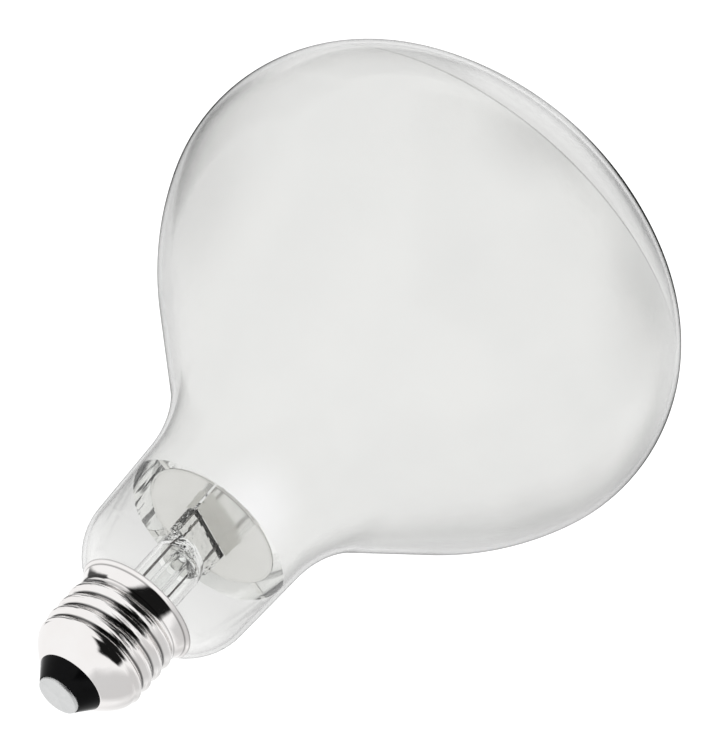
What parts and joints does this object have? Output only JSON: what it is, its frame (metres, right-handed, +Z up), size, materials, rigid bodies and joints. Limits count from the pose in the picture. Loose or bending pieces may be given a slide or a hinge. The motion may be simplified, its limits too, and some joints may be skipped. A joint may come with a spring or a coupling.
{
  "type": "infrared heat lamp bulb",
  "caption": "Mirrored reflector heat lamp with a screw cap, a clear neck that shows the stem and the heat shield, and a clear dome that lets the filament's heat out.",
  "frame": {"origin": "centre of the centre contact's flat face, where the lamp meets its holder", "axes": "+Z up along the lamp's axis out of the cap, the bulb hangs below towards -Z; +X is free"},
  "size_m": [0.125, 0.125, 0.1799],
  "materials": {
    "clear_glass": "clear blown glass",
    "mirror_film": "bright metal film seen through the glass",
    "cap_metal": "bright nickel plate on rolled brass",
    "black_glass": "glossy black glass insulator",
    "eyelet_brass": "plain brass",
    "solder": "dull tin solder",
    "cement": "cured capping cement",
    "stem_glass": "clear drawn glass",
    "shield_metal": "polished sheet",
    "tungsten": "drawn tungsten coil",
    "copper_wire": "drawn copper",
    "nickel_wire": "drawn nickel",
    "molybdenum_wire": "drawn molybdenum"
  },
  "bodies": {
    "root": {"glass_envelope": "clear_glass", "mirror_coating": "mirror_film", "screw_shell": "cap_metal", "cap_insulator": "black_glass", "contact_eyelet": "eyelet_brass", "contact_solder": "solder", "capping_cement": "cement", "stem": "stem_glass", "exhaust_tube": "stem_glass", "support_cane": "stem_glass", "heat_shield": "shield_metal", "filament": "tungsten", "outer_lead_centre": "copper_wire", "outer_lead_side": "copper_wire", "inner_lead_1": "nickel_wire", "inner_lead_2": "nickel_wire", "support_wire_1": "molybdenum_wire", "support_wire_2": "molybdenum_wire", "support_wire_3": "molybdenum_wire", "support_wire_4": "molybdenum_wire", "support_wire_5": "molybdenum_wire"}
  },
  "joints": []
}
